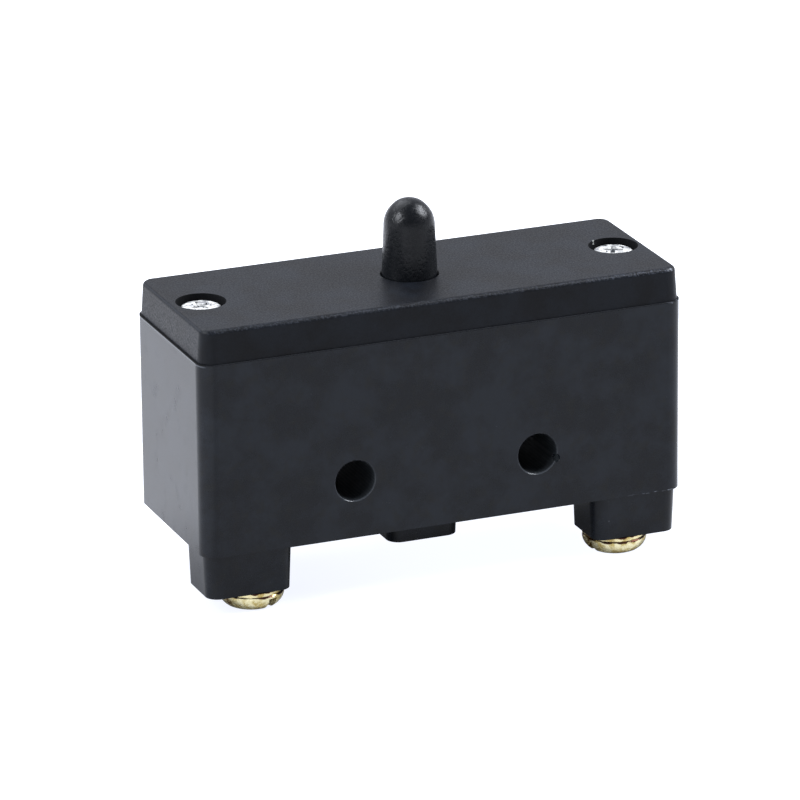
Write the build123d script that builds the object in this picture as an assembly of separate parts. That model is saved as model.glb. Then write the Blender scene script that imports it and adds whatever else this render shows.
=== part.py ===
from build123d import *
import math
import os

# Pin plunger snap switch: a moulded base with three screw terminals, a screwed cover,
# and a changeover contact blade that a sprung plunger pushes over.
# Millimetres. X is the length, Y the depth (rear face at 0, front face at -body_depth), Z is up.
# The origin is on the rear mounting face, midway between the axes of the two mounting holes.

# Moulded base
body_length = 52.6
body_depth = 19.4
body_corner = 1.7
underside_below_holes = 6.1
parting_above_holes = 14.3
side_wall = 1.8
floor_thickness = 2.0
inner_corner = 0.8

# Mounting holes, bored from front to rear
hole_spacing = 20.0
hole_radius = 2.15
hole_wall = 1.5
hole_edge_break = 0.08
chip_radius = 0.45
chip_depth = 1.0
chip_angle = -20.0

# Cover
cover_height = 3.5
cover_inset = 0.2
cover_draft = 4.0
cover_edge_round = 0.5
cover_top_thickness = 2.0
rim_depth = 1.2
rim_thickness = 1.0
rim_clearance = 0.1

# Cover screws, and the inserts and columns that hold them
cover_screw_from_end = 3.65
cover_screw_radius = 1.25
cover_screw_head_radius = 2.1
cover_screw_head_height = 1.5
cover_screw_head_sunk = 0.45
cover_screw_length = 9.0
cross_reach = 1.3
cross_width = 0.62
recess_radius = 2.57
cover_insert_radius = 2.0
cover_insert_length = 7.0
column_wall = 1.05

# Plunger and its guide in the cover
plunger_radius = 2.86
plunger_shoulder_radius = 2.64
plunger_dome_height = 2.9
plunger_rise = 8.0
plunger_travel = 2.0
plunger_flange_radius = 4.4
plunger_flange_thickness = 1.2
plunger_bore_radius = 1.75
plunger_crown = 4.3
guide_clearance = 0.1
guide_mouth_chamfer = 0.08
guide_boss_wall = 1.8
stop_gap = 0.1

# Inner pin and overtravel spring
pin_radius = 1.0
pin_foot_round = 0.6
pin_head_radius = 1.65
pin_head_height = 1.3
pin_head_above_flange = 2.8
pin_travel = 0.5
spring_wire = 0.35
spring_turns = 7
spring_side_play = 0.15

# Contact blade
blade_above_shelf = 2.0
blade_thickness = 0.3
blade_width = 7.0
blade_tip_width = 5.0
blade_taper_length = 3.0
blade_end_gap = 0.6
centre_leg_width = 2.6
leg_slot = 0.6
legs_join_x = 5.0
leg_bow = 1.3
leg_seat_depth = 0.2
tee_length = 1.0
tee_width = 5.2
free_play = 0.05
bow_clearance = 0.3

# Contact rivets
rivet_radius = 1.5
rivet_head = 0.8
rivet_shank_radius = 0.8
fixed_rivet_head = 0.95
rivet_tail = 0.4

# Contact strips and the anchor bracket, folded from brass sheet
strip_thickness = 0.8
strip_bend = 0.5
strip_gap = 0.2
foot_width = 4.6
foot_end = 1.8
riser_gap = 0.5
shelf_side_gap = 0.4
riser_side_gap = 0.85
seat_above_tube = 0.55
shelf_width = 6.4
shelf_past_screw = 2.2
post_to_pivot = 5.0
post_thickness = 1.2
fork_thickness = 0.8
fork_side_play = 0.2
fork_above_blade = 1.6
post_above_blade = 1.0
notch_depth = 0.5
notch_height = 1.2

# Bracket screw
bracket_screw_from_tube = 1.55
bracket_screw_radius = 0.95
bracket_screw_head_radius = 1.6
bracket_screw_head_height = 1.0
bracket_screw_length = 5.0
bracket_slot_width = 0.5

# Terminal bosses
end_boss_inset = 0.4
end_boss_front_inset = 0.25
end_boss_length = 9.4
end_boss_depth = 7.0
end_boss_drop = 4.65
rear_boss_length = 7.9
rear_boss_depth = 13.3
rear_boss_drop = 3.7
rear_boss_inset = 0.3
boss_corner = 1.5
boss_draft = 2.5

# Terminal screws, washers and inserts
terminal_inward = 1.1
terminal_screw_radius = 1.75
terminal_screw_reach = 5.0
terminal_head_radius = 3.35
terminal_head_height = 1.5
terminal_head_rim = 0.3
terminal_head_flat = 2.5
terminal_slot_turn = -58.0
washer_radius = 3.2
washer_thickness = 0.4
washer_play = 0.15
terminal_insert_radius = 2.6
insert_groove_depth = 0.4
insert_groove_width = 1.0
spigot_radius = 0.9
spigot_head_radius = 1.5
spigot_head_height = 0.5
slot_width = 0.8
slot_depth = 0.7
edge_break = 0.3
screw_play = 0.05
through_hole_play = 0.15

# Places in the moulding that follow from those sizes
half_length = body_length / 2
mid_y = -body_depth / 2
front_inner_y = -body_depth + side_wall
rear_inner_y = -side_wall
underside_z = -underside_below_holes
floor_z = underside_z + floor_thickness
parting_z = parting_above_holes
cover_top_z = parting_z + cover_height
ceiling_z = cover_top_z - cover_top_thickness
tube_radius = hole_radius + hole_wall
end_boss_z = underside_z - end_boss_drop
rear_boss_z = underside_z - rear_boss_drop
end_terminal_x = half_length - end_boss_inset - end_boss_length / 2 - terminal_inward
end_terminal_y = front_inner_y + strip_gap + spigot_head_radius
rear_terminal_y = rear_inner_y - strip_gap - foot_end
foot_top_z = floor_z + strip_thickness

# Cover screws
cover_screw_x = half_length - cover_screw_from_end
column_inner_x = cover_screw_x - cover_insert_radius - column_wall
screw_head_top_z = cover_top_z - cover_screw_head_sunk
recess_floor_z = screw_head_top_z - cover_screw_head_height

# Contact mechanism, from the anchor bracket up
run_y = front_inner_y + strip_gap
lower_riser_y = end_terminal_y + spigot_head_radius + riser_gap
column_front_y = lower_riser_y + strip_thickness + strip_gap
column_rear_y = 2 * mid_y - column_front_y
riser_rear_y = rear_terminal_y - spigot_head_radius - strip_gap
shelf_front_y = mid_y - shelf_width / 2
shelf_rear_y = riser_rear_y - strip_thickness - strip_gap
shelf_z = tube_radius + seat_above_tube
shelf_top_z = shelf_z + strip_thickness
blade_z = shelf_top_z + blade_above_shelf
blade_top_z = blade_z + blade_thickness
blade_mid_z = blade_z + blade_thickness / 2
pivot_x = -hole_spacing / 2 - tube_radius
post_face_x = pivot_x + post_to_pivot
bracket_screw_x = -hole_spacing / 2 + tube_radius + bracket_screw_from_tube
contact_x = (hole_spacing / 2 + tube_radius + column_inner_x) / 2
seat_end_x = end_terminal_x - foot_width / 2 - strip_gap
contact_shelf_x0 = hole_spacing / 2 + tube_radius + shelf_side_gap
contact_shelf_x1 = column_inner_x - shelf_side_gap
leg_y = centre_leg_width / 2 + leg_slot
blade_slope = pin_travel / -pivot_x
tip_drop = (contact_x + rivet_radius - pivot_x) * blade_slope
upper_face_z = blade_top_z + rivet_head + free_play
upper_tab_z = upper_face_z + fixed_rivet_head
lower_face_z = blade_z - rivet_head - tip_drop - free_play
lower_shelf_top_z = lower_face_z - fixed_rivet_head

# Plunger, pin and guide, stacked on the blade
flange_bottom_z = blade_top_z + leg_bow + bow_clearance + plunger_travel
flange_top_z = flange_bottom_z + plunger_flange_thickness
guide_boss_z = flange_top_z + stop_gap
guide_radius = plunger_radius + guide_clearance
plunger_top_z = cover_top_z + plunger_rise
plunger_bore_top_z = plunger_top_z - plunger_crown
pin_foot_z = blade_top_z + free_play
pin_head_bottom_z = flange_bottom_z + pin_head_above_flange
pin_head_top_z = pin_head_bottom_z + pin_head_height


def block(x0, x1, y0, y1, z0, z1):
    """A block between two corners."""
    centre = Pos((x0 + x1) / 2, (y0 + y1) / 2, (z0 + z1) / 2)
    return centre * Box(x1 - x0, y1 - y0, z1 - z0)


def upright(radius, x, y, z0, z1):
    """A vertical cylinder between two heights."""
    return Pos(x, y, (z0 + z1) / 2) * Cylinder(radius, z1 - z0)


def turned(points, x, y):
    """A turned piece: its half section, given as (radius, height), spun about a vertical axis."""
    half = make_face(Plane.XZ * Polyline(*points, close=True))
    return Pos(x, y, 0) * revolve(half, Axis.Z)


def across_y(sketch, y0, y1):
    """A section drawn in X and Z, pulled from y0 to y1."""
    return extrude(Plane((0, y1, 0), x_dir=(1, 0, 0), z_dir=(0, -1, 0)) * sketch, y1 - y0)


def across_x(sketch, x0, x1):
    """A section drawn in Y and Z, pulled from x0 to x1."""
    return extrude(Plane((x0, 0, 0), x_dir=(0, 1, 0), z_dir=(1, 0, 0)) * sketch, x1 - x0)


def tapered_boss(x0, x1, y0, y1, drop):
    """A terminal boss with round corners and draft, growing down from the underside."""
    outline = Pos((x0 + x1) / 2, (y0 + y1) / 2, underside_z) * RectangleRounded(x1 - x0, y1 - y0, boss_corner)
    return extrude(outline, drop, dir=(0, 0, -1), taper=boss_draft)


def insert_profile(bottom_z):
    """Half section of a terminal insert: grooved barrel, and a spigot riveted over the strip."""
    groove_z = (bottom_z + floor_z) / 2 - insert_groove_width / 2
    neck = terminal_insert_radius - insert_groove_depth
    return [
        (0, bottom_z),
        (terminal_insert_radius, bottom_z),
        (terminal_insert_radius, groove_z),
        (neck, groove_z),
        (neck, groove_z + insert_groove_width),
        (terminal_insert_radius, groove_z + insert_groove_width),
        (terminal_insert_radius, floor_z),
        (spigot_radius, floor_z),
        (spigot_radius, foot_top_z),
        (spigot_head_radius, foot_top_z),
        (spigot_head_radius - edge_break, foot_top_z + spigot_head_height),
        (0, foot_top_z + spigot_head_height),
    ]


def cover_insert_profile():
    """Half section of a cover screw insert with one anchoring groove."""
    bottom = parting_z - cover_insert_length
    groove = parting_z - cover_insert_length / 2
    neck = cover_insert_radius - insert_groove_depth
    return [
        (0, bottom),
        (cover_insert_radius, bottom),
        (cover_insert_radius, groove),
        (neck, groove),
        (neck, groove + insert_groove_width),
        (cover_insert_radius, groove + insert_groove_width),
        (cover_insert_radius, parting_z),
        (0, parting_z),
    ]


terminals = {
    "left": (-end_terminal_x, end_terminal_y, end_boss_z),
    "right": (end_terminal_x, end_terminal_y, end_boss_z),
    "rear": (0, rear_terminal_y, rear_boss_z),
}
cover_screws = {"left": -cover_screw_x, "right": cover_screw_x}


def base_housing():
    """Open-topped moulding with terminal bosses, bolt tubes, screw columns and contact ledges."""
    outline = Pos(0, mid_y, underside_z) * RectangleRounded(body_length, body_depth, body_corner)
    inside = Pos(0, mid_y, floor_z) * RectangleRounded(
        body_length - 2 * side_wall, body_depth - 2 * side_wall, inner_corner
    )
    body = extrude(outline, parting_z - underside_z) - extrude(inside, parting_z - floor_z)

    # Columns that hold the cover screw inserts
    for side in (-1, 1):
        near, far = sorted((side * column_inner_x, side * (half_length - side_wall)))
        body += block(near, far, column_front_y, column_rear_y, floor_z, parting_z)

    # Bolt tubes, each on a web that ties it to the floor
    for x in (-hole_spacing / 2, hole_spacing / 2):
        tube = Pos(x, mid_y, 0) * Rot(90, 0, 0) * Cylinder(tube_radius, body_depth - 2 * side_wall)
        body += tube + block(x - tube_radius, x + tube_radius, front_inner_y, rear_inner_y, floor_z, 0)

    # Seats for the anchor bracket, the lower strip's shelf and the end of the upper strip
    body += block(pivot_x, bracket_screw_x + bracket_screw_head_radius, shelf_front_y, shelf_rear_y,
                  floor_z, shelf_z)
    body += block(contact_shelf_x0, contact_shelf_x1, column_front_y, mid_y + blade_tip_width / 2,
                  floor_z, lower_shelf_top_z - strip_thickness)
    body += block(contact_shelf_x0, seat_end_x, front_inner_y, lower_riser_y - strip_gap,
                  floor_z, upper_tab_z)

    # Terminal bosses: two at the front corners, one in the middle towards the rear
    for side in (-1, 1):
        x0, x1 = sorted((side * (half_length - end_boss_inset),
                         side * (half_length - end_boss_inset - end_boss_length)))
        body += tapered_boss(x0, x1, -body_depth + end_boss_front_inset,
                             -body_depth + end_boss_front_inset + end_boss_depth, end_boss_drop)
    body += tapered_boss(-rear_boss_length / 2, rear_boss_length / 2,
                         -rear_boss_inset - rear_boss_depth, -rear_boss_inset, rear_boss_drop)

    # The moulding closes round its inserts
    for x, y, bottom_z in terminals.values():
        body -= turned(insert_profile(bottom_z)[:7] + [(0, floor_z)], x, y)
    for x in cover_screws.values():
        body -= turned(cover_insert_profile(), x, mid_y)
        body -= upright(cover_screw_radius + screw_play, x, mid_y,
                        recess_floor_z - cover_screw_length - screw_play, parting_z)
    body -= upright(bracket_screw_radius + screw_play, bracket_screw_x, mid_y,
                    shelf_z - bracket_screw_length, shelf_z)
    body -= upright(rivet_shank_radius + screw_play, contact_x, mid_y,
                    lower_shelf_top_z - strip_thickness - rivet_head - screw_play, lower_shelf_top_z)

    # Mounting holes with broken edges, and the chipped rim of the right one
    for x in (-hole_spacing / 2, hole_spacing / 2):
        body -= Pos(x, mid_y, 0) * Rot(90, 0, 0) * Cylinder(hole_radius, body_depth)
        for y, turn in ((-body_depth, -90), (0, 90)):
            mouth = Cone(hole_radius + 2 * hole_edge_break, hole_radius, 2 * hole_edge_break)
            body -= Pos(x, y, 0) * Rot(turn, 0, 0) * mouth
    chip = math.radians(chip_angle)
    notch = Rot(-90, 0, 0) * Cone(chip_radius, chip_radius / 4, chip_depth)
    return body - Pos(hole_spacing / 2 + hole_radius * math.cos(chip), -body_depth + chip_depth / 2,
                      hole_radius * math.sin(chip)) * notch


def top_cover():
    """Drafted cover with a locating rim, sunk screw seats and a long guide for the plunger."""
    outline = Pos(0, mid_y, parting_z) * RectangleRounded(
        body_length - 2 * cover_inset, body_depth - 2 * cover_inset, body_corner - cover_inset
    )
    cover = extrude(outline, cover_height, taper=cover_draft)
    cover = fillet(cover.faces().sort_by(Axis.Z)[-1].edges(), cover_edge_round)

    # Hollow between the screw ends, and the rim that locates it in the base
    hollow_x = column_inner_x - rim_thickness
    hollow_y = body_depth / 2 - side_wall - rim_clearance - rim_thickness
    cover -= block(-hollow_x, hollow_x, mid_y - hollow_y, mid_y + hollow_y, parting_z, ceiling_z)
    rim_out = RectangleRounded(2 * (half_length - side_wall - rim_clearance),
                               2 * (body_depth / 2 - side_wall - rim_clearance), inner_corner)
    rim_in = Rectangle(2 * hollow_x, 2 * hollow_y)
    rim = extrude(Pos(0, mid_y, parting_z - rim_depth) * (rim_out - rim_in), rim_depth)
    for side in (-1, 1):
        x0, x1 = sorted((side * (column_inner_x - rim_clearance), side * half_length))
        rim -= block(x0, x1, column_front_y - rim_clearance, column_rear_y + rim_clearance,
                     parting_z - rim_depth, parting_z)
    cover += rim

    # Guide for the plunger, open at both ends
    cover += upright(guide_radius + guide_boss_wall, 0, mid_y, guide_boss_z, ceiling_z)
    cover -= upright(guide_radius, 0, mid_y, guide_boss_z, cover_top_z)
    mouth_z = cover_top_z - guide_mouth_chamfer
    cover -= turned([(0, mouth_z), (guide_radius, mouth_z), (guide_radius + guide_mouth_chamfer, cover_top_z),
                     (0, cover_top_z)], 0, mid_y)

    for x in cover_screws.values():
        cover -= upright(recess_radius, x, mid_y, recess_floor_z, cover_top_z)
        cover -= upright(cover_screw_radius + through_hole_play, x, mid_y, parting_z, recess_floor_z)
    return cover


def cover_screw(x):
    """Cheese-head machine screw with a cross recess, its thread drawn plain."""
    z0, top, radius = recess_floor_z, screw_head_top_z, cover_screw_head_radius
    screw = turned([(0, z0 - cover_screw_length), (cover_screw_radius, z0 - cover_screw_length),
                    (cover_screw_radius, z0), (radius, z0), (radius, top - edge_break),
                    (radius - edge_break, top), (0, top)], x, mid_y)
    for angle in (45, 135):
        screw -= Pos(x, mid_y, top) * Rot(0, 0, angle) * Box(2 * cross_reach, cross_width, 2 * slot_depth)
    return screw


def cover_insert(x):
    """Turned brass insert moulded in the screw column, bored for the screw."""
    insert = turned(cover_insert_profile(), x, mid_y)
    bore_bottom = parting_z - cover_insert_length
    return insert - upright(cover_screw_radius + screw_play, x, mid_y, bore_bottom, parting_z)


def plunger():
    """Moulded plunger: domed tip, slight taper, guided shank, stop flange and a blind spring bore."""
    dome_z = plunger_top_z - plunger_dome_height
    halfway = (math.sqrt(0.5) * plunger_shoulder_radius, dome_z + math.sqrt(0.5) * plunger_dome_height)
    side = Polyline((0, flange_bottom_z), (plunger_flange_radius, flange_bottom_z),
                    (plunger_flange_radius, flange_top_z), (plunger_radius, flange_top_z),
                    (plunger_radius, cover_top_z), (plunger_shoulder_radius, dome_z))
    dome = Spline((plunger_shoulder_radius, dome_z), halfway, (0, plunger_top_z), tangents=[(0, 1), (-1, 0)])
    axis_line = Line((0, plunger_top_z), (0, flange_bottom_z))
    half = make_face(Plane.XZ * (side + dome + axis_line))
    body = Pos(0, mid_y, 0) * revolve(half, Axis.Z)
    return body - upright(plunger_bore_radius, 0, mid_y, flange_bottom_z, plunger_bore_top_z)


def inner_pin():
    """Turned pin that passes the plunger's push on to the blade, with a rounded foot."""
    curve = pin_foot_round
    bend = curve * (1 - math.sqrt(0.5))
    sole = Line((0, pin_foot_z), (pin_radius - curve, pin_foot_z))
    toe = ThreePointArc((pin_radius - curve, pin_foot_z), (pin_radius - bend, pin_foot_z + bend),
                        (pin_radius, pin_foot_z + curve))
    rest = Polyline((pin_radius, pin_foot_z + curve), (pin_radius, pin_head_bottom_z),
                    (pin_head_radius, pin_head_bottom_z), (pin_head_radius, pin_head_top_z),
                    (0, pin_head_top_z), (0, pin_foot_z))
    return Pos(0, mid_y, 0) * revolve(make_face(Plane.XZ * (sole + toe + rest)), Axis.Z)


def overtravel_spring():
    """Compression spring between the inner pin's head and the end of the plunger's bore."""
    coil_radius = plunger_bore_radius - spring_wire / 2 - spring_side_play
    length = plunger_bore_top_z - pin_head_top_z - spring_wire - 2 * free_play
    coil = Helix(pitch=length / spring_turns, height=length, radius=coil_radius)
    wire = sweep(Plane(origin=coil @ 0, z_dir=coil % 0) * Circle(spring_wire / 2), path=coil)
    return Pos(0, mid_y, pin_head_top_z + spring_wire / 2 + free_play) * wire


def contact_blade():
    """Snap blade cut from one spring sheet: a flat centre leg with a tee end, and two bowed side legs."""
    tip_x, shoulder_x = column_inner_x - blade_end_gap, legs_join_x + blade_taper_length
    half, tip = blade_width / 2, blade_tip_width / 2
    neck_x = contact_x - rivet_radius
    outline = Polyline((legs_join_x, -half), (shoulder_x, -half), (neck_x, -tip), (tip_x, -tip),
                       (tip_x, tip), (neck_x, tip), (shoulder_x, half), (legs_join_x, half), close=True)
    tee_x1 = pivot_x - free_play
    leg_length = legs_join_x - tee_x1
    flat = make_face(outline) + Pos(legs_join_x - leg_length / 2, 0) * Rectangle(leg_length, centre_leg_width)
    flat += Pos(tee_x1 - tee_length / 2, 0) * Rectangle(tee_length, tee_width)
    flat -= Pos(contact_x, 0) * Circle(rivet_shank_radius)
    blade = extrude(Pos(0, mid_y, blade_z) * flat, blade_thickness)

    leg_end_x, leg_root_x = post_face_x - leg_seat_depth, legs_join_x + blade_thickness
    bow = trace(ThreePointArc((leg_end_x, blade_mid_z), ((leg_end_x + leg_root_x) / 2, blade_mid_z + leg_bow),
                              (leg_root_x, blade_mid_z)), line_width=blade_thickness)
    for near, far in ((leg_y, half), (-half, -leg_y)):
        blade += across_y(bow, mid_y + near, mid_y + far)
    return blade


def moving_contact():
    """Silver rivet through the blade's tip, with a contact face above and below."""
    z0, z1 = blade_z - rivet_head, blade_top_z + rivet_head
    return turned([(0, z0), (rivet_radius, z0), (rivet_radius, blade_z), (rivet_shank_radius, blade_z),
                   (rivet_shank_radius, blade_top_z), (rivet_radius, blade_top_z), (rivet_radius, z1),
                   (0, z1)], contact_x, mid_y)


def upper_contact():
    """Silver rivet hanging from the upper strip's tab, its tail headed over on top."""
    face, tab, tail = upper_face_z, upper_tab_z, upper_tab_z + strip_thickness
    return turned([(0, face), (rivet_radius, face), (rivet_radius, tab), (rivet_shank_radius, tab),
                   (rivet_shank_radius, tail), (rivet_shank_radius + rivet_tail, tail),
                   (rivet_shank_radius, tail + rivet_tail), (0, tail + rivet_tail)], contact_x, mid_y)


def lower_contact():
    """Silver rivet standing on the lower strip's shelf, its tail in the moulded pad."""
    face, shelf = lower_face_z, lower_shelf_top_z
    tail = shelf - strip_thickness - rivet_head
    return turned([(0, tail), (rivet_shank_radius, tail), (rivet_shank_radius, shelf), (rivet_radius, shelf),
                   (rivet_radius, face), (0, face)], contact_x, mid_y)


def upper_strip():
    """Brass strip from the left terminal, on edge along the front wall, to a tab above the blade's tip."""
    foot_x = -end_terminal_x
    riser_x0 = foot_x + spigot_head_radius + riser_gap
    riser_x1 = -hole_spacing / 2 - tube_radius - riser_side_gap
    top_z = parting_z - rim_depth - free_play
    run = block(riser_x0, seat_end_x, run_y, run_y + strip_thickness, upper_tab_z, top_z)
    riser = block(riser_x0, riser_x1, run_y, run_y + strip_thickness, floor_z, top_z)
    foot = block(foot_x - foot_width / 2, riser_x1, run_y, lower_riser_y, floor_z, foot_top_z)
    tab = block(contact_shelf_x0, contact_shelf_x1, run_y, mid_y + blade_tip_width / 2,
                upper_tab_z, upper_tab_z + strip_thickness)
    strip = run + riser + foot + tab
    strip -= upright(spigot_radius, foot_x, end_terminal_y, floor_z, foot_top_z)
    return strip - upright(rivet_shank_radius, contact_x, mid_y, upper_tab_z, upper_tab_z + strip_thickness)


def lower_strip():
    """Brass strip folded in a Z: foot on the right terminal, riser, shelf under the blade's tip."""
    half = strip_thickness / 2
    path = FilletPolyline((run_y, floor_z + half), (lower_riser_y + half, floor_z + half),
                          (lower_riser_y + half, lower_shelf_top_z - half),
                          (mid_y + blade_tip_width / 2, lower_shelf_top_z - half), radius=strip_bend)
    foot_x0, foot_x1 = end_terminal_x - foot_width / 2, end_terminal_x + foot_width / 2
    strip = across_x(trace(path, line_width=strip_thickness), contact_shelf_x0, foot_x1)

    # The blank is narrower at the foot and at the shelf than across the riser
    strip -= block(contact_shelf_x1, foot_x1, lower_riser_y + strip_thickness, 0, floor_z, parting_z)
    strip -= block(contact_shelf_x0, foot_x0, -body_depth, 0, floor_z, foot_top_z + strip_bend)
    strip -= upright(spigot_radius, end_terminal_x, end_terminal_y, floor_z, foot_top_z)
    return strip - upright(rivet_shank_radius, contact_x, mid_y,
                           lower_shelf_top_z - strip_thickness, lower_shelf_top_z)


def anchor_bracket():
    """Common terminal bracket: foot and riser at the rear, shelf, fork for the tee, notched posts."""
    shelf_x0, shelf_x1 = pivot_x - tee_length, bracket_screw_x + shelf_past_screw
    shelf = block(shelf_x0, shelf_x1, shelf_front_y, mid_y + shelf_width / 2, shelf_z, shelf_top_z)
    half, foot_half = strip_thickness / 2, foot_width / 2
    riser_mid_y = riser_rear_y - half
    path = FilletPolyline((shelf_front_y + shelf_width / 2, shelf_z + half), (riser_mid_y, shelf_z + half),
                          (riser_mid_y, floor_z + half), (rear_terminal_y + foot_end, floor_z + half),
                          radius=strip_bend)
    riser_x0 = -hole_spacing / 2 + tube_radius + strip_gap
    arm = across_x(trace(path, line_width=strip_thickness), riser_x0, foot_half)
    arm -= block(riser_x0, -foot_half, riser_rear_y, 0, floor_z, foot_top_z)
    arm -= block(shelf_x1, foot_half, shelf_front_y, riser_rear_y - strip_thickness, shelf_z, shelf_top_z)

    # Fork: an upright wall whose slot, open at the top, takes the blade's centre leg
    slot, fork_top = centre_leg_width / 2 + fork_side_play, blade_top_z + fork_above_blade
    fork = block(pivot_x, pivot_x + fork_thickness, shelf_front_y, mid_y + shelf_width / 2, shelf_z, fork_top)
    fork -= block(pivot_x, pivot_x + fork_thickness, mid_y - slot, mid_y + slot,
                  blade_z - fork_thickness, fork_top)
    bracket = shelf + arm + fork

    # Posts with notches that the bowed legs push against, level with the legs halfway through their swing
    post_top = blade_top_z + post_above_blade
    for y0, y1 in ((shelf_front_y, mid_y - leg_y), (mid_y + leg_y, mid_y + shelf_width / 2)):
        bracket += block(post_face_x - post_thickness, post_face_x, y0, y1, shelf_z, post_top)
    notch_z = blade_mid_z - blade_slope * post_to_pivot / 2
    low, high = notch_z - notch_height / 2, notch_z + notch_height / 2
    notch = make_face(Polyline((post_face_x, low), (post_face_x - notch_depth, notch_z), (post_face_x, high),
                               close=True))
    bracket -= across_y(notch, shelf_front_y, mid_y + shelf_width / 2)
    bracket -= upright(bracket_screw_radius + screw_play, bracket_screw_x, mid_y, shelf_z, shelf_top_z)
    return bracket - upright(spigot_radius, 0, rear_terminal_y, floor_z, foot_top_z)


def bracket_screw():
    """Slotted screw that holds the anchor bracket down on its seat."""
    z0, top = shelf_top_z, shelf_top_z + bracket_screw_head_height
    tip = z0 - bracket_screw_length
    screw = turned([(0, tip), (bracket_screw_radius, tip), (bracket_screw_radius, z0),
                    (bracket_screw_head_radius, z0), (bracket_screw_head_radius, top - edge_break),
                    (bracket_screw_head_radius - edge_break, top), (0, top)], bracket_screw_x, mid_y)
    return screw - Pos(bracket_screw_x, mid_y, top) * Box(2 * bracket_screw_head_radius, bracket_slot_width,
                                                          slot_depth)


def terminal_insert(x, y, bottom_z):
    """Turned brass insert moulded through the floor, tapped from below for the terminal screw."""
    insert = turned(insert_profile(bottom_z), x, y)
    bore_top_z = bottom_z + terminal_screw_reach + edge_break
    return insert - upright(terminal_screw_radius + screw_play, x, y, bottom_z, bore_top_z)


def terminal_washer(x, y, bottom_z):
    """Flat brass washer under the terminal screw's head."""
    washer = upright(washer_radius, x, y, bottom_z - washer_thickness, bottom_z)
    return washer - upright(terminal_screw_radius + washer_play, x, y, bottom_z - washer_thickness, bottom_z)


def terminal_screw(x, y, bottom_z):
    """Brass binding screw driven up from below: a head that narrows to its slotted flat end."""
    seat = bottom_z - washer_thickness
    end = seat - terminal_head_height
    radius, rim_z = terminal_head_radius, seat - terminal_head_rim
    side = Polyline((0, end), (terminal_head_flat, end))
    bulge = ((terminal_head_flat + 2 * radius) / 3, (end + rim_z) / 2)
    rounding = ThreePointArc((terminal_head_flat, end), bulge, (radius, rim_z))
    tip = bottom_z + terminal_screw_reach
    rest = Polyline((radius, rim_z), (radius, seat), (terminal_screw_radius, seat),
                    (terminal_screw_radius, tip), (0, tip), (0, end))
    screw = Pos(x, y, 0) * revolve(make_face(Plane.XZ * (side + rounding + rest)), Axis.Z)
    slot = Box(2 * radius, slot_width, 2 * slot_depth)
    return screw - Pos(x, y, end) * Rot(0, 0, terminal_slot_turn) * slot


parts = {
    "base_housing": base_housing(),
    "top_cover": top_cover(),
    "plunger": plunger(),
    "inner_pin": inner_pin(),
    "overtravel_spring": overtravel_spring(),
    "contact_blade": contact_blade(),
    "moving_contact": moving_contact(),
    "anchor_bracket": anchor_bracket(),
    "bracket_screw": bracket_screw(),
    "upper_strip": upper_strip(),
    "upper_contact": upper_contact(),
    "lower_strip": lower_strip(),
    "lower_contact": lower_contact(),
}
for side, x in cover_screws.items():
    parts[f"cover_screw_{side}"] = cover_screw(x)
    parts[f"cover_insert_{side}"] = cover_insert(x)
for place, spot in terminals.items():
    parts[f"terminal_insert_{place}"] = terminal_insert(*spot)
    parts[f"terminal_washer_{place}"] = terminal_washer(*spot)
    parts[f"terminal_screw_{place}"] = terminal_screw(*spot)

os.makedirs("parts", exist_ok=True)
for node, shape in parts.items():
    export_step(shape, f"parts/{node}.step")
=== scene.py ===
import math

import bmesh
import bpy
from mathutils import Matrix, Quaternion, Vector


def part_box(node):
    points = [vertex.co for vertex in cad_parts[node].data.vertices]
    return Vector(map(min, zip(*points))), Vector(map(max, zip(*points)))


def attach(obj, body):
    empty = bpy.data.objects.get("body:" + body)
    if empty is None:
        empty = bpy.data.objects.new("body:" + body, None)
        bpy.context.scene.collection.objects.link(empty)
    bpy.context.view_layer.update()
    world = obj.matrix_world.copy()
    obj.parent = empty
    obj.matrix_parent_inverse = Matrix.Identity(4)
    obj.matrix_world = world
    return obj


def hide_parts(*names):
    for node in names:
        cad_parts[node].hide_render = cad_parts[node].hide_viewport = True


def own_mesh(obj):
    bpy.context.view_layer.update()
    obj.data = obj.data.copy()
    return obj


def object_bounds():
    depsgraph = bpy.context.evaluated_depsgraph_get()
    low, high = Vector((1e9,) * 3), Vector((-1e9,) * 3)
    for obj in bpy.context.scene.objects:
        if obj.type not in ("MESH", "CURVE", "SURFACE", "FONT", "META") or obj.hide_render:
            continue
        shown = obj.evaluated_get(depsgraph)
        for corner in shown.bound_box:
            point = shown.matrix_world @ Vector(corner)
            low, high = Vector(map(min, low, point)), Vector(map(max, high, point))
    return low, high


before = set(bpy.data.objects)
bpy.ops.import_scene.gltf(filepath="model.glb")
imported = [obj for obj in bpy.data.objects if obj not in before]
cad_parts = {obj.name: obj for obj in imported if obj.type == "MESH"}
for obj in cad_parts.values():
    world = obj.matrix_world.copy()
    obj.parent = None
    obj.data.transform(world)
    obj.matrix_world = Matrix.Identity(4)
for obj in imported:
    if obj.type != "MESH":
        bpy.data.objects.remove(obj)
solid_low, solid_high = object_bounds()
mm = 0.001

# The base of the switch: one black phenolic moulding, pressed in a polished tool, so its walls are smooth
# with a soft sheen. It has faint flow clouds, smudges from handling and crumbs of flash at the right end.
# The bores are duller, because core pins are pulled through them, and so is the chip beside the right one.
base_low, base_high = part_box("base_housing")
front_face, left_wall, parting = base_low.y, base_low.x, base_high.z
underside = -6.1 * mm
hole_x, hole_radius = 10 * mm, 2.15 * mm
chip_place = Vector((12.05, -19.0, -0.85)) * mm
speck_place = Vector((18.12, -19.15, -8.67)) * mm


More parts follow.
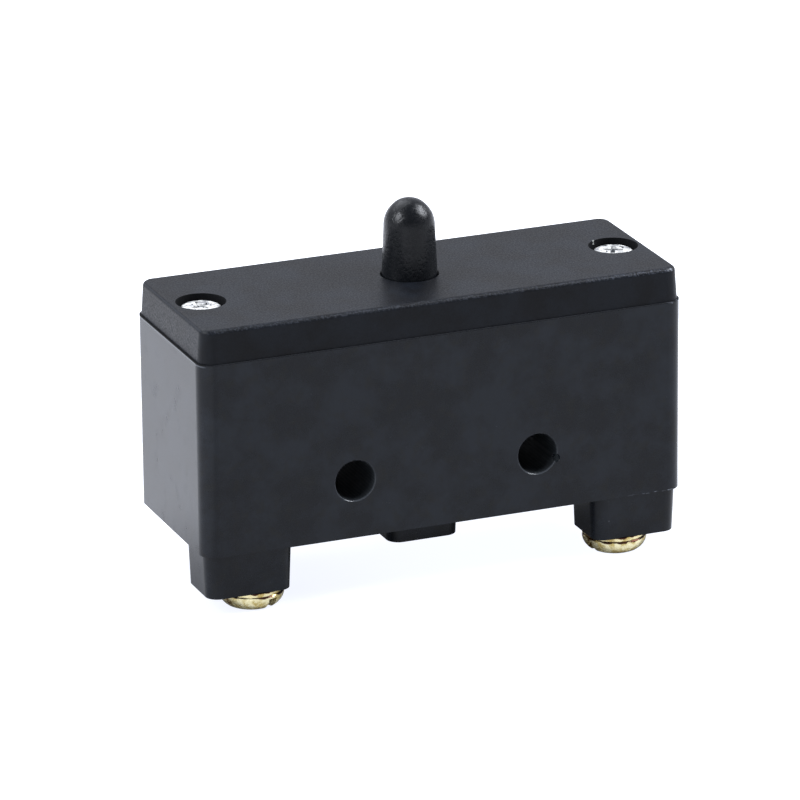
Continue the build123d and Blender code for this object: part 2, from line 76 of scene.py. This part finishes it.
def linear(code):
    """An sRGB hex value as the linear colour that a socket takes."""
    parts = [int(code[i:i + 2], 16) / 255 for i in (1, 3, 5)]
    return [c / 12.92 if c <= 0.04045 else ((c + 0.055) / 1.055) ** 2.4 for c in parts] + [1.0]


def add(tree, kind, sockets=None, **settings):
    """Adds a shader node, sets it up, and sets or links each named socket."""
    node = tree.nodes.new("ShaderNode" + kind)
    for name, value in settings.items():
        setattr(node, name, value)
    for name, value in (sockets or {}).items():
        if isinstance(value, bpy.types.NodeSocket):
            tree.links.new(value, node.inputs[name])
        else:
            node.inputs[name].default_value = value
    return node


def surface(name):
    """A new material: its node tree, its Principled shader and its Object coordinates."""
    made = bpy.data.materials.new(name)
    made.use_nodes = True
    tree = made.node_tree
    coords = add(tree, "TexCoord").outputs["Object"]
    return made, tree, tree.nodes["Principled BSDF"], coords


def grain(tree, coords, size, detail=2.0, roughness=0.5):
    """Noise whose blotches are about this size in metres."""
    return add(tree, "TexNoise", {"Vector": coords, "Scale": 1 / size, "Detail": detail,
                                  "Roughness": roughness}).outputs["Fac"]


def ranged(tree, value, low, high, to_low, to_high):
    """Spreads a value's range over another one, clamped at both ends."""
    return add(tree, "MapRange", {"Value": value, "From Min": low, "From Max": high, "To Min": to_low,
                                  "To Max": to_high}, interpolation_type="SMOOTHSTEP").outputs["Result"]


def layered(tree, colour, *layers):
    """A colour with others laid over it, each by its share. A colour is a hex value or a socket."""
    for share, over in layers:
        below, above = [linear(each) if isinstance(each, str) else each for each in (colour, over)]
        colour = add(tree, "Mix", {0: share, 6: below, 7: above}, data_type="RGBA").outputs[2]
    return colour


def fold(tree, operation, *shares):
    """Some shares taken together: MULTIPLY keeps what all of them cover, MAXIMUM what any covers."""
    total = shares[0]
    for share in shares[1:]:
        total = add(tree, "Math", {0: total, 1: share}, operation=operation).outputs[0]
    return total


def near(tree, value, centre, half):
    """1 close to a value, falling to 0 at its edges."""
    off = add(tree, "Math", {0: value, 1: -centre}, operation="ADD")
    size = add(tree, "Math", {0: off.outputs[0]}, operation="ABSOLUTE")
    return ranged(tree, size.outputs[0], 0.6 * half, half, 1, 0)


def within(tree, coords, centre, inner, outer):
    """1 inside a sphere and 0 outside it."""
    apart = add(tree, "VectorMath", {0: coords, 1: centre}, operation="DISTANCE")
    return ranged(tree, apart.outputs["Value"], inner, outer, 1, 0)


def from_axes(tree, x, other, axis_x, axis_other):
    """The distance from the nearer of two axes, which lie as far to the left as to the right."""
    side = add(tree, "Math", {0: x}, operation="ABSOLUTE")
    across = add(tree, "Math", {0: side.outputs[0], 1: -axis_x}, operation="ADD")
    along = add(tree, "Math", {0: other, 1: -axis_other}, operation="ADD")
    apart = add(tree, "CombineXYZ", {"X": across.outputs[0], "Y": along.outputs[0]})
    return add(tree, "VectorMath", {0: apart.outputs[0]}, operation="LENGTH").outputs["Value"]


def worn_edges(tree, radius, height, strength, depth):
    """A normal with the edges broken to a radius in metres and a fine relief on top."""
    edge = add(tree, "Bevel", {"Radius": radius}, samples=6)
    relief = add(tree, "Bump", {"Strength": strength, "Distance": depth, "Height": height,
                                "Normal": edge.outputs["Normal"]})
    return relief.outputs["Normal"]


def dashes(tree, coords, stretch):
    """Flecks of flash, drawn out along one axis."""
    drawn = add(tree, "Mapping", {"Vector": coords, "Scale": stretch}).outputs["Vector"]
    return ranged(tree, grain(tree, drawn, 0.22 * mm, 2.0), 0.5, 0.6, 0, 1)


def flow_clouds(tree, coords):
    """The polished moulding's own colour: near-black and faintly blue, with a few warmer clouds."""
    cloud = ranged(tree, grain(tree, coords, 3.5 * mm, 5.0, 0.6), 0.35, 0.65, 0, 1)
    warm = ranged(tree, grain(tree, coords, 1.3 * mm, 3.0), 0.5, 0.7, 0, 0.4)
    return layered(tree, "#0A0D12", (cloud, "#15191F"), (warm, "#131310"))


def flash_crumbs(tree, coords, x, y, z):
    """1 on the crumbs of flash: along the lower front edge, under the cover's corner and on the boss."""
    lower = fold(tree, "MULTIPLY", near(tree, z, underside + 0.04 * mm, 0.1 * mm),
                 ranged(tree, x, 19 * mm, 24.5 * mm, 0, 1),
                 ranged(tree, y, front_face + 0.7 * mm, front_face + 0.3 * mm, 0, 1),
                 dashes(tree, coords, (0.3, 1, 1)))
    upper = fold(tree, "MULTIPLY", near(tree, z, parting - 0.06 * mm, 0.1 * mm),
                 ranged(tree, x, 24 * mm, 25.5 * mm, 0, 1),
                 ranged(tree, y, front_face + 2.1 * mm, front_face + 1.6 * mm, 0, 1),
                 dashes(tree, coords, (0.4, 0.4, 1)))
    return fold(tree, "MAXIMUM", lower, upper, within(tree, coords, speck_place, 0.06 * mm, 0.16 * mm))


def phenolic_moulding():
    """Black phenolic from a polished tool, with painted highlights at the bores and painted shade at the
    joint.
    """
    made, tree, shader, coords = surface("phenolic_polished_moulding")
    x, y, z = add(tree, "SeparateXYZ", {0: coords}).outputs
    radius = from_axes(tree, x, z, hole_x, 0)
    cored = ranged(tree, radius, hole_radius - 0.01 * mm, hole_radius + 0.01 * mm, 1, 0)
    deep = fold(tree, "MAXIMUM", cored, within(tree, coords, chip_place, 0.38 * mm, 0.46 * mm))
    # Painted highlight on each bore's front edge, brightest towards the bottom.
    bore_edge_highlight = fold(tree, "MULTIPLY", near(tree, radius, hole_radius + 0.04 * mm, 0.07 * mm),
               ranged(tree, y, front_face + 0.2 * mm, front_face + 0.12 * mm, 0, 1),
               ranged(tree, z, 1.5 * mm, -1.8 * mm, 0.35, 1))
    # The joint is duller; at the left end it is painted near-black, as shade in the gap under the cover.
    joint = near(tree, z, parting, 0.1 * mm)
    left = ranged(tree, x, left_wall + 0.7 * mm, left_wall + 0.4 * mm, 0, 1)
    # Painted highlight along the left end's upper edge, just under the joint.
    left_arris_highlight = fold(tree, "MULTIPLY", near(tree, z, parting - 0.18 * mm, 0.09 * mm), left)
    colour = layered(tree, flow_clouds(tree, coords), (deep, "#202427"), (bore_edge_highlight, "#36393D"),
                     (joint, layered(tree, "#121418", (left, "#050506"))), (left_arris_highlight, "#3C3F44"),
                     (flash_crumbs(tree, coords, x, y, z), "#5C6068"))
    tree.links.new(colour, shader.inputs["Base Color"])
    smudge = ranged(tree, grain(tree, coords, 2.2 * mm, 4.0), 0.52, 0.7, 0.2, 0.28)
    rough = add(tree, "Mix", {0: fold(tree, "MAXIMUM", deep, joint), 2: smudge, 3: 0.85})
    tree.links.new(rough.outputs[0], shader.inputs["Roughness"])
    fine = grain(tree, coords, 0.35 * mm, 3.0)
    tree.links.new(worn_edges(tree, 0.06 * mm, fine, 0.2, 0.01 * mm), shader.inputs["Normal"])
    shader.inputs["IOR"].default_value = 1.5
    shader.inputs["Specular IOR Level"].default_value = 0.19
    return made


def dress(node, finish):
    """Gives a CAD node its finish."""
    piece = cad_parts[node]
    for holder in piece.material_slots:
        holder.material = finish


dress("base_housing", phenolic_moulding())

# The cover: phenolic too, but from a blasted tool, so it is matt with a fine grain. It is pulled down on
# the base by two sunk screws. Its upper front edge has a grainy painted highlight, brightest at the right
# corner, and its upper left edge a paler painted highlight. Its screw recesses are painted a little darker,
# as shade. Two burrs stand at the left of the right screw's recess, painted pale as their glint. The
# joint's gap is ragged at the left end.


def upright(node):
    """Where an upright turned piece stands, in millimetres: its axis in x and y, its foot and its top."""
    low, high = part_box(node)
    return [round(value / mm, 3) for value in ((low.x + high.x) / 2, (low.y + high.y) / 2, low.z, high.z)]


cover_low, cover_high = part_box("top_cover")
recess_x, recess_y = upright("cover_screw_right")[:2]
recess_radius = 2.57 * mm
recess_middle = Vector((recess_x * mm, recess_y * mm, cover_high.z))
burr_offsets = ((-1.25, 2.24, -0.04), (-1.23, 2.26, -0.33))


def blasted_moulding():
    """Black phenolic from a blasted tool: matt, with a grain drawn a little coarser than the real one."""
    made, tree, shader, coords = surface("phenolic_blasted_moulding")
    x, y, z = add(tree, "SeparateXYZ", {0: coords}).outputs
    cloud = ranged(tree, grain(tree, coords, 4 * mm, 5.0, 0.6), 0.35, 0.65, 0, 1)
    fine = grain(tree, coords, 0.18 * mm, 3.0)
    radius = from_axes(tree, x, y, recess_middle.x, recess_middle.y)
    # The screw recesses: painted a little darker, as shade, and made duller.
    sunk = ranged(tree, radius, recess_radius - 0.01 * mm, recess_radius + 0.03 * mm, 1, 0)
    # Painted highlight along the upper left edge, as a rounder edge would catch the light.
    left_edge_highlight = fold(tree, "MULTIPLY", near(tree, z, cover_high.z - 0.08 * mm, 0.2 * mm),
                     ranged(tree, x, cover_low.x + 0.42 * mm, cover_low.x + 0.32 * mm, 0, 1))
    # Painted highlight along the upper front edge: grainy, and brighter towards the right.
    rubbed = fold(tree, "MULTIPLY", near(tree, z, cover_high.z - 0.1 * mm, 0.3 * mm),
                  ranged(tree, y, cover_low.y + 0.7 * mm, cover_low.y + 0.4 * mm, 0, 1),
                  ranged(tree, x, 10 * mm, 25 * mm, 0.4, 1),
                  ranged(tree, fine, 0.5, 0.6, 0, 1))
    # Painted highlight, paler still, at the right front corner.
    corner = ranged(tree, x, cover_high.x - 1.8 * mm, cover_high.x - 1.0 * mm, 0, 1)
    colour = layered(tree, "#090A0D", (cloud, "#0F1217"), (sunk, "#07080A"))
    # The two burrs are real, and their pale specks are a painted highlight, their glint.
    for offset in burr_offsets:
        burr_glint = within(tree, coords, recess_middle + Vector(offset) * mm, 0.07 * mm, 0.17 * mm)
        colour = layered(tree, colour, (burr_glint, "#8E908C"))
    colour = layered(tree, colour, (left_edge_highlight, "#22252A"),
                     (rubbed, layered(tree, "#343840", (corner, "#6E7279"))))
    tree.links.new(colour, shader.inputs["Base Color"])
    ragged = add(tree, "Math", {0: grain(tree, coords, 0.8 * mm), 1: -0.4 * mm, 2: z},
                 operation="MULTIPLY_ADD")
    gap = fold(tree, "MULTIPLY",
               ranged(tree, ragged.outputs[0], parting - 0.14 * mm, parting - 0.08 * mm, 1, 0),
               ranged(tree, x, cover_low.x + 0.7 * mm, cover_low.x + 0.5 * mm, 0, 1))
    matt = ranged(tree, fine, 0.3, 0.7, 0.33, 0.52)
    rough = add(tree, "Mix", {0: fold(tree, "MAXIMUM", sunk, gap), 2: matt, 3: 0.9})
    tree.links.new(rough.outputs[0], shader.inputs["Roughness"])
    tree.links.new(worn_edges(tree, 0.06 * mm, fine, 0.75, 0.02 * mm), shader.inputs["Normal"])
    shader.inputs["IOR"].default_value = 1.5
    shader.inputs["Specular IOR Level"].default_value = 0.13
    return made


dress("top_cover", blasted_moulding())

# The plunger: a black moulded pin with a domed tip that slides in the cover's guide. Handling leaves it
# satin, with small dimples at the tip.


def satin_moulding():
    """Black moulded plastic, rubbed to a satin sheen."""
    made, tree, shader, coords = surface("moulded_satin_black")
    dimple = grain(tree, coords, 0.33 * mm, 3.0)
    shader.inputs["Base Color"].default_value = linear("#090B0E")
    tree.links.new(ranged(tree, dimple, 0.3, 0.7, 0.24, 0.36), shader.inputs["Roughness"])
    rubbed = add(tree, "Bump", {"Strength": 0.9, "Distance": 0.04 * mm, "Height": dimple})
    tree.links.new(rubbed.outputs["Normal"], shader.inputs["Normal"])
    shader.inputs["Specular IOR Level"].default_value = 0.2
    return made


dress("plunger", satin_moulding())

# The cover screws: steel M2.5 screws with low round heads and a cross recess, cold headed and zinc
# plated, with the thread rolled on. Their heads sit just under the cover's face.
head_top = upright("cover_screw_right")[3]


def plated_steel():
    """Bright zinc plate on steel: pale, a little uneven, worn in patches, with small dark pits."""
    made, tree, shader, coords = surface("zinc_plated_steel")
    height = add(tree, "SeparateXYZ", {0: coords}).outputs["Z"]
    uneven = grain(tree, coords, 0.35 * mm, 3.0)
    worn = ranged(tree, grain(tree, coords, 0.9 * mm, 3.0), 0.5, 0.62, 0, 0.85)
    # Painted shade for the cross recess: the zinc is darker from just below the head's top downwards.
    recess = ranged(tree, height, (head_top - 0.13) * mm, (head_top - 0.35) * mm, 0, 1)
    pit = ranged(tree, grain(tree, coords, 0.5 * mm, 1.0), 0.33, 0.37, 1, 0)
    colour = layered(tree, "#A8A8A6", (ranged(tree, uneven, 0.35, 0.65, 0, 1), "#E4E4E1"),
                     (worn, "#86878A"), (recess, "#6E7276"), (pit, "#24262A"))
    tree.links.new(colour, shader.inputs["Base Color"])
    shader.inputs["Metallic"].default_value = 0.45
    tree.links.new(ranged(tree, uneven, 0.3, 0.7, 0.3, 0.45), shader.inputs["Roughness"])
    plate = add(tree, "Bump", {"Strength": 0.5, "Distance": 0.03 * mm, "Height": uneven})
    tree.links.new(plate.outputs["Normal"], shader.inputs["Normal"])
    return made


def turned(profile, x, y):
    """A round skin about a vertical axis, from (radius, height) pairs in millimetres."""
    shape = bmesh.new()
    ring = [shape.verts.new(((x + r) * mm, y * mm, z * mm)) for r, z in profile]
    edges = [shape.edges.new(pair) for pair in zip(ring, ring[1:])]
    bmesh.ops.spin(shape, geom=ring + edges, cent=(x * mm, y * mm, 0), axis=(0, 0, 1), angle=2 * math.pi,
                   steps=96, use_merge=True)
    bmesh.ops.remove_doubles(shape, verts=shape.verts, dist=1e-7)
    bmesh.ops.recalc_face_normals(shape, faces=shape.faces)
    return shape


def wind(shape, section, x, y, rise, turns):
    """Sweeps a closed section about a vertical axis, climbing by a rise per turn, and returns its end."""
    steps = 32
    made = bmesh.ops.spin(shape, geom=section, cent=(x * mm, y * mm, 0), axis=(0, 0, 1),
                          dvec=(0, 0, rise * mm / steps), angle=2 * math.pi * turns,
                          steps=round(steps * turns))
    return made["geom_last"]


def close_ends(shape):
    """Fills a wound skin's open ends and turns its faces outwards."""
    bmesh.ops.holes_fill(shape, edges=[edge for edge in shape.edges if edge.is_boundary])
    bmesh.ops.recalc_face_normals(shape, faces=shape.faces)


def meshed(name, shape):
    """An object made of a shape, at the origin."""
    mesh = bpy.data.meshes.new(name)
    shape.to_mesh(mesh)
    shape.free()
    made = bpy.data.objects.new(name, mesh)
    bpy.context.scene.collection.objects.link(made)
    return made


def carve(made, cutter):
    """Cuts one object out of another and drops the cutter."""
    cut = made.modifiers.new("cut", "BOOLEAN")
    cut.object, cut.operation, cut.solver = cutter, "DIFFERENCE", "EXACT"
    done = made.evaluated_get(bpy.context.evaluated_depsgraph_get())
    carved = bpy.data.meshes.new_from_object(done)
    made.modifiers.clear()
    made.data = carved
    bpy.data.objects.remove(cutter)


def thread(made, x, y, root, crest, pitch, low, high):
    """Adds the ridge of a screw thread, between two heights in millimetres.

    The screw is carved before this, because a cut through the separate skins of a shank and its ridge
    doesn't come out the same each time.
    """
    shape = bmesh.new()
    shape.from_mesh(made.data)
    inner = root - 0.05
    section = ((inner, low), (crest, low + 0.4 * pitch), (crest, low + 0.55 * pitch),
               (inner, low + 0.95 * pitch))
    ring = [shape.verts.new(((x + r) * mm, y * mm, z * mm)) for r, z in section]
    loop = [shape.edges.new((ring[i], ring[(i + 1) % 4])) for i in range(4)]
    wind(shape, ring + loop, x, y, pitch, (high - low) / pitch - 1)
    close_ends(shape)
    shape.to_mesh(made.data)
    shape.free()


def finish_piece(made, finish, body):
    """Shades a made piece, gives it its material and ties it to its body."""
    made.data.materials.clear()
    made.data.materials.append(finish)
    made.data.shade_smooth()
    made.data.set_sharp_from_angle(angle=math.radians(35))
    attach(made, body)
    return made


def cross_punch(x, y, top, turn):
    """The punch of a cross recess: four wings that narrow to a small cross at the bottom."""
    shape = bmesh.new()
    reach, half_width, above, depth, taper = 1.25, 0.3, 0.3, 1.0, 0.35
    corners = []
    for quarter in range(4):
        angle = math.radians(90 * quarter + turn)
        for out, aside in ((half_width, -half_width), (reach, -half_width), (reach, half_width)):
            corner_x = x + out * math.cos(angle) - aside * math.sin(angle)
            corner_y = y + out * math.sin(angle) + aside * math.cos(angle)
            corners.append(shape.verts.new((corner_x * mm, corner_y * mm, (top + above) * mm)))
    bmesh.ops.contextual_create(shape, geom=corners)
    below = bmesh.ops.extrude_face_region(shape, geom=shape.faces[:])["geom"]
    lower = [vert for vert in below if isinstance(vert, bmesh.types.BMVert)]
    bmesh.ops.translate(shape, verts=lower, vec=(0, 0, -(above + depth) * mm))
    bmesh.ops.scale(shape, verts=lower, vec=(taper, taper, 1),
                    space=Matrix.Translation((-x * mm, -y * mm, 0)))
    bmesh.ops.recalc_face_normals(shape, faces=shape.faces)
    return meshed("cross_punch", shape)


zinc = plated_steel()
head_height, head_radius, shank_radius = 1.5, 2.1, 1.0
crown = ((0, 0), (1.6, 0.02), (1.85, 0.06), (2.0, 0.15), (2.08, 0.3), (head_radius, 0.5))
for which, turn in (("left", 20), ("right", 62)):
    x, y, tip, top = upright("cover_screw_" + which)
    seat = top - head_height
    head = [(r, top - drop) for r, drop in crown] + [(head_radius, seat)]
    shank = [(shank_radius, seat), (shank_radius, tip + 0.3), (0.75, tip), (0, tip)]
    screw = meshed("cover_screw_head_" + which, turned(head + shank, x, y))
    carve(screw, cross_punch(x, y, top, turn))
    thread(screw, x, y, root=shank_radius, crest=1.25, pitch=0.45, low=tip + 0.3, high=seat - 0.3)
    finish_piece(screw, zinc, "housing")
    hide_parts("cover_screw_" + which)

# The terminal screws: brass M3.5 binding screws, turned, slotted and passivated, driven up from below into
# the moulded-in inserts. The head narrows to its slotted end.


def brass_with_painted_reflections(name, x, y, reflection_band_z, dark_patch_z, dark, light):
    """Passivated brass: creamy, with painted dark reflections, a patch on its left and a ragged band at the
    top.
    """
    made, tree, shader, coords = surface(name)
    height = add(tree, "SeparateXYZ", {0: coords}).outputs["Z"]
    patches = grain(tree, coords, 0.7 * mm, 4.0)
    # Painted dark reflection of the black boss: a ragged brown band just under the moulding, creeping down.
    creep = add(tree, "Math", {0: grain(tree, coords, 0.9 * mm), 1: 0.7 * mm, 2: height},
                operation="MULTIPLY_ADD")
    moulding_reflection = ranged(tree, creep.outputs[0], (reflection_band_z + 0.1) * mm, (reflection_band_z + 0.2) * mm, 0, 1)
    # Painted dark reflection on the head's left side, where the shaded floor under the body shows in it.
    dark_patch_place = Vector((x - 3.25, y - 0.75, dark_patch_z)) * mm
    dark_reflection_patch = fold(tree, "MULTIPLY", within(tree, coords, dark_patch_place, 0.7 * mm, 1.5 * mm),
                ranged(tree, patches, 0.4, 0.55, 1, 0.3))
    colour = layered(tree, dark, (ranged(tree, patches, 0.38, 0.6, 0, 1), light), (dark_reflection_patch, "#6A4A22"),
                     (moulding_reflection, "#3C1C0E"))
    tree.links.new(colour, shader.inputs["Base Color"])
    shader.inputs["Metallic"].default_value = 0.8
    tree.links.new(ranged(tree, patches, 0.3, 0.7, 0.32, 0.18), shader.inputs["Roughness"])
    worn = add(tree, "Bump", {"Strength": 0.4, "Distance": 0.05 * mm, "Height": patches})
    tree.links.new(worn.outputs["Normal"], shader.inputs["Normal"])
    return made


def slot_saw(x, y, end, turn):
    """The saw that cuts the slot, right across the end of the head."""
    length, width, depth = 8, 1.0, 1.2
    shape = bmesh.new()
    place = Matrix.Translation((x * mm, y * mm, end * mm)) @ Matrix.Rotation(math.radians(turn), 4, "Z")
    size = Matrix.Diagonal((length * mm, width * mm, 2 * depth * mm, 1))
    bmesh.ops.create_cube(shape, size=1, matrix=place @ size)
    return meshed("slot_saw", shape)


head_height, head_end_radius, shank_radius = 1.5, 2.45, 1.4
bulge = ((3.3, 0), (3.35, 0.06), (3.34, 0.35), (3.26, 0.65), (3.1, 0.95), (2.87, 1.22), (2.62, 1.42))
slot_turns = {"left": -69, "right": 14, "rear": 20}
for which, turn in slot_turns.items():
    x, y, end, tip = upright("terminal_screw_" + which)
    seat = end + head_height
    screw_brass = brass_with_painted_reflections("brass_passivated_" + which, x, y, seat + 0.13, seat - 0.55,
                                "#D0BC78", "#FFF6C8")
    shank = [(0, tip), (1.1, tip), (shank_radius, tip - 0.4), (shank_radius, seat)]
    head = [(r, seat - drop) for r, drop in bulge] + [(head_end_radius, end), (0, end)]
    screw = meshed("terminal_screw_head_" + which, turned(shank + head, x, y))
    carve(screw, slot_saw(x, y, end, turn))
    thread(screw, x, y, root=shank_radius, crest=1.75, pitch=0.6, low=seat + 0.6, high=tip - 0.3)
    finish_piece(screw, screw_brass, "housing")
    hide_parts("terminal_screw_" + which)

# The terminal washers: stamped from brass strip, on the shanks of the terminal screws. They carry the same
# painted dark reflections: a ragged brown band next to the moulding and a patch on the left.
for which in slot_turns:
    x, y = upright("terminal_screw_" + which)[:2]
    top = upright("terminal_washer_" + which)[3]
    washer_brass = brass_with_painted_reflections("brass_washer_painted_reflections_" + which, x, y, top + 0.12, top - 0.4,
                                 "#BFA968", "#F2E6B4")
    dress("terminal_washer_" + which, washer_brass)

# The overtravel spring: music wire wound with closed ends, standing in the plunger's bore on the head of
# the inner pin. In the real switch it shortens when the plunger goes further than the pin; here it keeps
# its length and rides with the plunger.


def bare_metal(name, dark, light, roughness):
    """Bare metal, bright where it is rubbed and darker where it has tarnished."""
    made, tree, shader, coords = surface(name)
    tarnish = grain(tree, coords, 1.2 * mm, 4.0)
    colour = layered(tree, dark, (ranged(tree, tarnish, 0.35, 0.65, 0, 1), light))
    tree.links.new(colour, shader.inputs["Base Color"])
    shader.inputs["Metallic"].default_value = 1.0
    tree.links.new(ranged(tree, tarnish, 0.3, 0.7, roughness + 0.1, roughness), shader.inputs["Roughness"])
    worn = add(tree, "Bump", {"Strength": 0.3, "Distance": 0.03 * mm, "Height": tarnish})
    tree.links.new(worn.outputs["Normal"], shader.inputs["Normal"])
    return made


wire = bare_metal("spring_wire_drawn", "#8E8E90", "#B4B4B6", 0.25)
x, y = upright("plunger")[:2]
low, high = 15.05, 21.45
wire_radius, coil_radius, end_rise, free_turns = 0.175, 1.425, 0.36, 5
free_rise = (high - low - 2 * wire_radius - 2 * end_rise) / free_turns
coil = bmesh.new()
start = Matrix.Translation(((x + coil_radius) * mm, y * mm, (low + wire_radius) * mm))
ring = bmesh.ops.create_circle(coil, segments=12, radius=wire_radius * mm,
                               matrix=start @ Matrix.Rotation(math.radians(90), 4, "X"))["verts"]
section = ring + coil.edges[:]
for rise, turns in ((end_rise, 1), (free_rise, free_turns), (end_rise, 1)):
    section = wind(coil, section, x, y, rise, turns)
close_ends(coil)
spring = finish_piece(meshed("overtravel_spring_coil", coil), wire, "plunger")
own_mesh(spring)
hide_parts("overtravel_spring")

# The pieces inside: stamped brass strips and bracket, turned pin and inserts, the rolled bronze snap blade,
# silver contact rivets, and the zinc-plated screw that holds the bracket.
brass = bare_metal("brass_stamped", "#B08A4A", "#D2B06A", 0.3)
bronze = bare_metal("bronze_rolled_sheet", "#A56A3C", "#C98A58", 0.28)
silver = bare_metal("silver_rivet", "#C4C4C0", "#EDEDE8", 0.3)
for node in ("anchor_bracket", "upper_strip", "lower_strip", "inner_pin", "cover_insert_left",
             "cover_insert_right", "terminal_insert_left", "terminal_insert_right", "terminal_insert_rear"):
    dress(node, brass)
dress("contact_blade", bronze)
for node in ("moving_contact", "upper_contact", "lower_contact"):
    dress(node, silver)
dress("bracket_screw", zinc)

# The floor: a pale sweep with a pool of light behind the switch, past a slanting line. It shows as plain
# white with a faint shadow. In mirror rays it is darker close to the switch, by ambient occlusion, so the
# black moulding's lower parts reflect little.
cool_white = (0.955, 0.985, 1.08, 1)
floor_half = 3.0


def pool_share(tree, x, y):
    """1 where the pool of light lies: past a slanting line on the floor and behind the switch's front."""
    slant_x, slant_y, offset = 0.848, 0.53, 32.6 * mm
    part = add(tree, "Math", {0: x, 1: slant_x, 2: offset}, operation="MULTIPLY_ADD")
    past = add(tree, "Math", {0: y, 1: slant_y, 2: part.outputs[0]}, operation="MULTIPLY_ADD")
    return fold(tree, "MULTIPLY", ranged(tree, past.outputs[0], -3 * mm, 5 * mm, 0, 1),
                ranged(tree, y, -8 * mm, 16 * mm, 0, 1))


def floor_light(tree, x, pool, mirrored):
    """How bright the floor shows: most in the pool and far left, and less by the switch in mirror rays."""
    outer = fold(tree, "ADD", ranged(tree, x, -30 * mm, -46 * mm, 0, 0.45),
                 ranged(tree, x, -30 * mm, 5 * mm, 0.88, 1.0))
    under = add(tree, "AmbientOcclusion", {"Distance": 25 * mm}, samples=8)
    under = ranged(tree, under.outputs["AO"], 0.2, 0.9, 0.08, 1)
    shaded = add(tree, "Mix", {0: mirrored, 2: 1.0, 3: under})
    bright = add(tree, "Mix", {0: pool, 2: outer, 3: 1.6})
    return fold(tree, "MULTIPLY", bright.outputs[0], shaded.outputs[0])


def pale_floor():
    """Paper that glows where it is seen and scatters where it only lights; clear from below."""
    made = bpy.data.materials.new("floor_pale")
    made.use_nodes = True
    tree = made.node_tree
    tree.nodes.clear()
    path = add(tree, "LightPath")
    mirrored = path.outputs["Is Glossy Ray"]
    seen = fold(tree, "MAXIMUM", path.outputs["Is Camera Ray"], path.outputs["Is Transmission Ray"],
                mirrored)
    x, y = add(tree, "SeparateXYZ", {0: add(tree, "TexCoord").outputs["Object"]}).outputs[:2]
    pool = pool_share(tree, x, y)
    unseen_albedo = add(tree, "Mix", {0: pool, 2: 0.45, 3: 0.9})
    albedo = add(tree, "Mix", {0: seen, 2: unseen_albedo.outputs[0], 3: 0.165}).outputs[0]
    grey = add(tree, "CombineXYZ", {"X": albedo, "Y": albedo, "Z": albedo})
    paper = add(tree, "BsdfDiffuse", {"Color": grey.outputs[0]})
    glow = add(tree, "Mix", {0: seen, 2: fold(tree, "MULTIPLY", pool, 0.7),
                             3: floor_light(tree, x, pool, mirrored)})
    light = add(tree, "Emission", {"Color": cool_white, "Strength": glow.outputs[0]})
    upper = add(tree, "AddShader", {0: paper.outputs[0], 1: light.outputs[0]})
    facing = add(tree, "NewGeometry")
    one_sided = add(tree, "MixShader", {0: facing.outputs["Backfacing"], 1: upper.outputs[0],
                                        2: add(tree, "BsdfTransparent").outputs[0]})
    add(tree, "OutputMaterial", {"Surface": one_sided.outputs[0]})
    return made


sweep = bmesh.new()
bmesh.ops.create_grid(sweep, x_segments=1, y_segments=1, size=floor_half)
bmesh.ops.translate(sweep, vec=(0, 0, solid_low.z), verts=sweep.verts)
floor = meshed("floor", sweep)
floor.data.materials.append(pale_floor())

# The room: cool white all round, full below the horizon, and above it dimmer in front than behind.
world = bpy.data.worlds.new("studio")
bpy.context.scene.world = world
world.use_nodes = True
tree = world.node_tree
tree.nodes.clear()
direction = add(tree, "SeparateXYZ", {0: add(tree, "TexCoord").outputs["Generated"]})
walls = ranged(tree, direction.outputs["Y"], -0.4, 0.6, 0.3, 0.9)
level = add(tree, "Mix", {0: ranged(tree, direction.outputs["Z"], 0.05, 0.3, 0, 1), 2: 1.0, 3: walls})
light = add(tree, "Background", {"Color": cool_white, "Strength": level.outputs[0]})
add(tree, "OutputWorld", {"Surface": light.outputs[0]})

# The lamps: three square softboxes, on the left, on the right and behind.


def towards(azimuth, elevation):
    """The direction out from the switch, in degrees: azimuth 0 is behind it and 90 on its right."""
    a, e = math.radians(azimuth), math.radians(elevation)
    return Vector((math.sin(a) * math.cos(e), math.cos(a) * math.cos(e), math.sin(e)))


def softbox(name, azimuth, elevation, distance, size, radiance):
    """A square soft lamp that looks at the switch, placed and sized in metres."""
    away = towards(azimuth, elevation)
    lamp = bpy.data.lights.new(name, "AREA")
    lamp.shape = "SQUARE"
    lamp.size = size
    lamp.color = (0.95, 0.98, 1.05)
    lamp.energy = radiance * math.pi * size * size
    holder = bpy.data.objects.new(name, lamp)
    bpy.context.scene.collection.objects.link(holder)
    holder.location = Vector((0, -10 * mm, 0)) + away * distance
    holder.rotation_mode = "QUATERNION"
    holder.rotation_quaternion = away.to_track_quat("Z", "Y")
    holder.visible_camera = False


softbox("softbox_left", -95, 36, 0.45, 0.22, 15.0)
softbox("softbox_right", 102, 45, 0.45, 0.23, 22.0)
softbox("softbox_behind", -20, 55, 0.5, 0.40, 3.0)

# The camera stands where the photograph was taken from: in front, a little to the left and above.
camera_data = bpy.data.cameras.new("camera")
camera = bpy.data.objects.new("camera", camera_data)
bpy.context.scene.collection.objects.link(camera)
bpy.context.scene.camera = camera
camera_data.sensor_width = 36
camera_data.lens = 286.454
camera_data.clip_start, camera_data.clip_end = 0.01, 20
camera_azimuth, camera_elevation, camera_roll = 180 + 21.974, 19.462, -0.509
camera_distance = 651.62 * mm
target = Vector((-1.167, -9.7, 4.257)) * mm
back = towards(camera_azimuth, camera_elevation)
roll = Quaternion((0, 0, 1), math.radians(camera_roll))
camera.location = target + back * camera_distance
camera.rotation_mode = "QUATERNION"
camera.rotation_quaternion = (-back).to_track_quat("-Z", "Y") @ roll

bpy.context.scene.view_settings.view_transform = "Standard"
